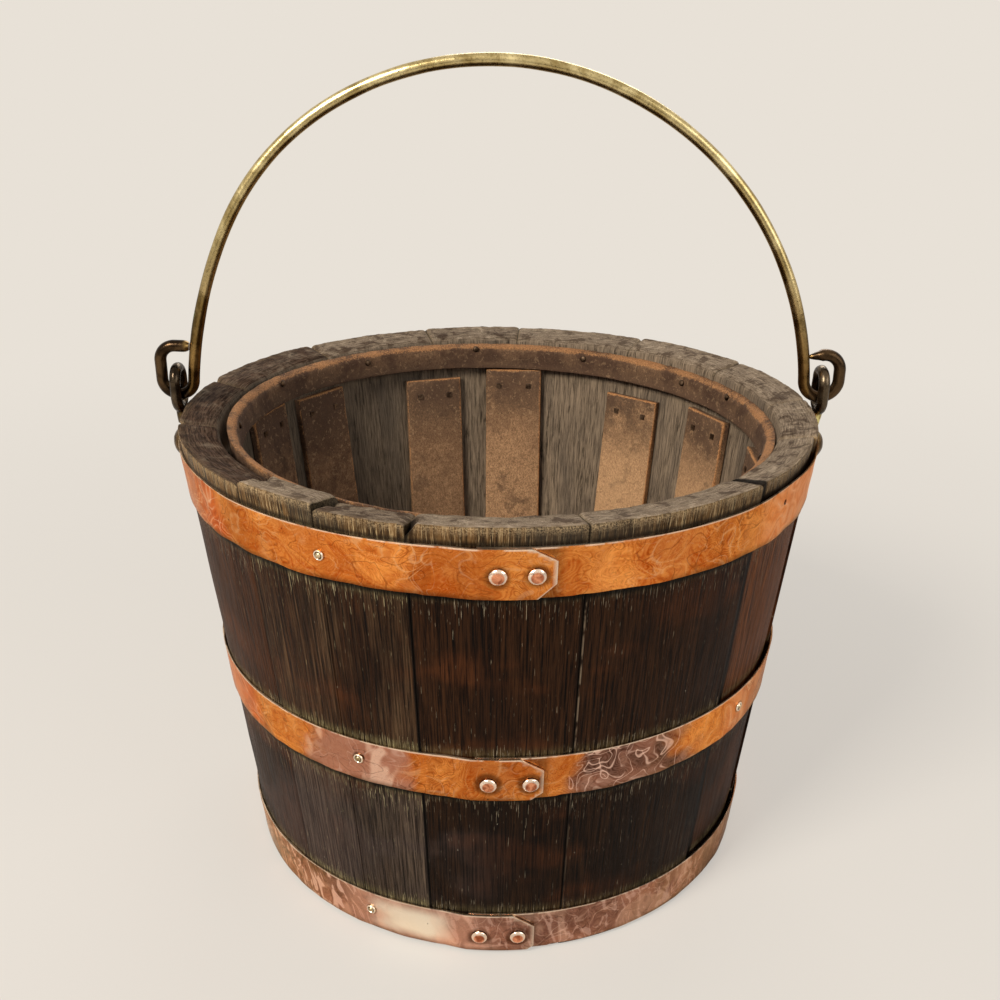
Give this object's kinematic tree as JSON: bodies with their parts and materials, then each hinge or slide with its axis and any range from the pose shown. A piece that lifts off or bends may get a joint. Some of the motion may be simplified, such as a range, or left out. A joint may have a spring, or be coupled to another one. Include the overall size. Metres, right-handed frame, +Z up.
{
  "type": "coopered bucket",
  "caption": "Coopered oak bucket with copper hoops, brass ears and a hinged bail of brass rod, for logs or kindling.",
  "frame": {"origin": "centre of the circle of stave ends that the bucket stands on", "axes": "+Z up, +X to the picture's right along the bail's hinge line, -Y to the front"},
  "size_m": [0.4174, 0.3835, 0.4784],
  "materials": {
    "stave_oak": "dark stained, weathered oak with worn pale flecks",
    "base_oak": "dark, dirty oak boards",
    "lining_board": "brown pressed board with worn tan edges",
    "lining_nails": "dull cut nails",
    "hoop_copper": "tarnished copper sheet",
    "rivet_copper": "rubbed copper",
    "tack_brass": "dull brass",
    "ear_bronze": "dark, oily bronze with rubbed high spots",
    "bail_brass": "satin brass, darker towards its ends"
  },
  "bodies": {
    "bucket": {"stave_01": "stave_oak", "stave_02": "stave_oak", "stave_03": "stave_oak", "stave_04": "stave_oak", "stave_05": "stave_oak", "stave_06": "stave_oak", "stave_07": "stave_oak", "stave_08": "stave_oak", "stave_09": "stave_oak", "stave_10": "stave_oak", "stave_11": "stave_oak", "stave_12": "stave_oak", "stave_13": "stave_oak", "stave_14": "stave_oak", "base_board_left": "base_oak", "base_board_middle": "base_oak", "base_board_right": "base_oak", "base_dowels": "base_oak", "batten_01": "lining_board", "batten_02": "lining_board", "batten_03": "lining_board", "batten_04": "lining_board", "batten_05": "lining_board", "batten_06": "lining_board", "batten_07": "lining_board", "batten_08": "lining_board", "batten_09": "lining_board", "batten_10": "lining_board", "batten_11": "lining_board", "batten_12": "lining_board", "batten_13": "lining_board", "batten_14": "lining_board", "liner_ring": "lining_board", "batten_nails": "lining_nails", "ring_nails": "lining_nails", "top_hoop": "hoop_copper", "top_hoop_rivets": "rivet_copper", "top_hoop_tacks": "tack_brass", "middle_hoop": "hoop_copper", "middle_hoop_rivets": "rivet_copper", "middle_hoop_tacks": "tack_brass", "bottom_hoop": "hoop_copper", "bottom_hoop_rivets": "rivet_copper", "bottom_hoop_tacks": "tack_brass", "ear_left": "ear_bronze", "ear_right": "ear_bronze", "ear_rivet_left": "ear_bronze", "ear_rivet_right": "ear_bronze"},
    "bail": {"bail_handle": "bail_brass"}
  },
  "joints": [
    {"name": "bail_swing", "type": "hinge", "parent": "bucket", "child": "bail", "pos_m": [0, 0, 0.28365], "axis": [1, 0, 0], "range_deg": [-90, 88]}
  ]
}
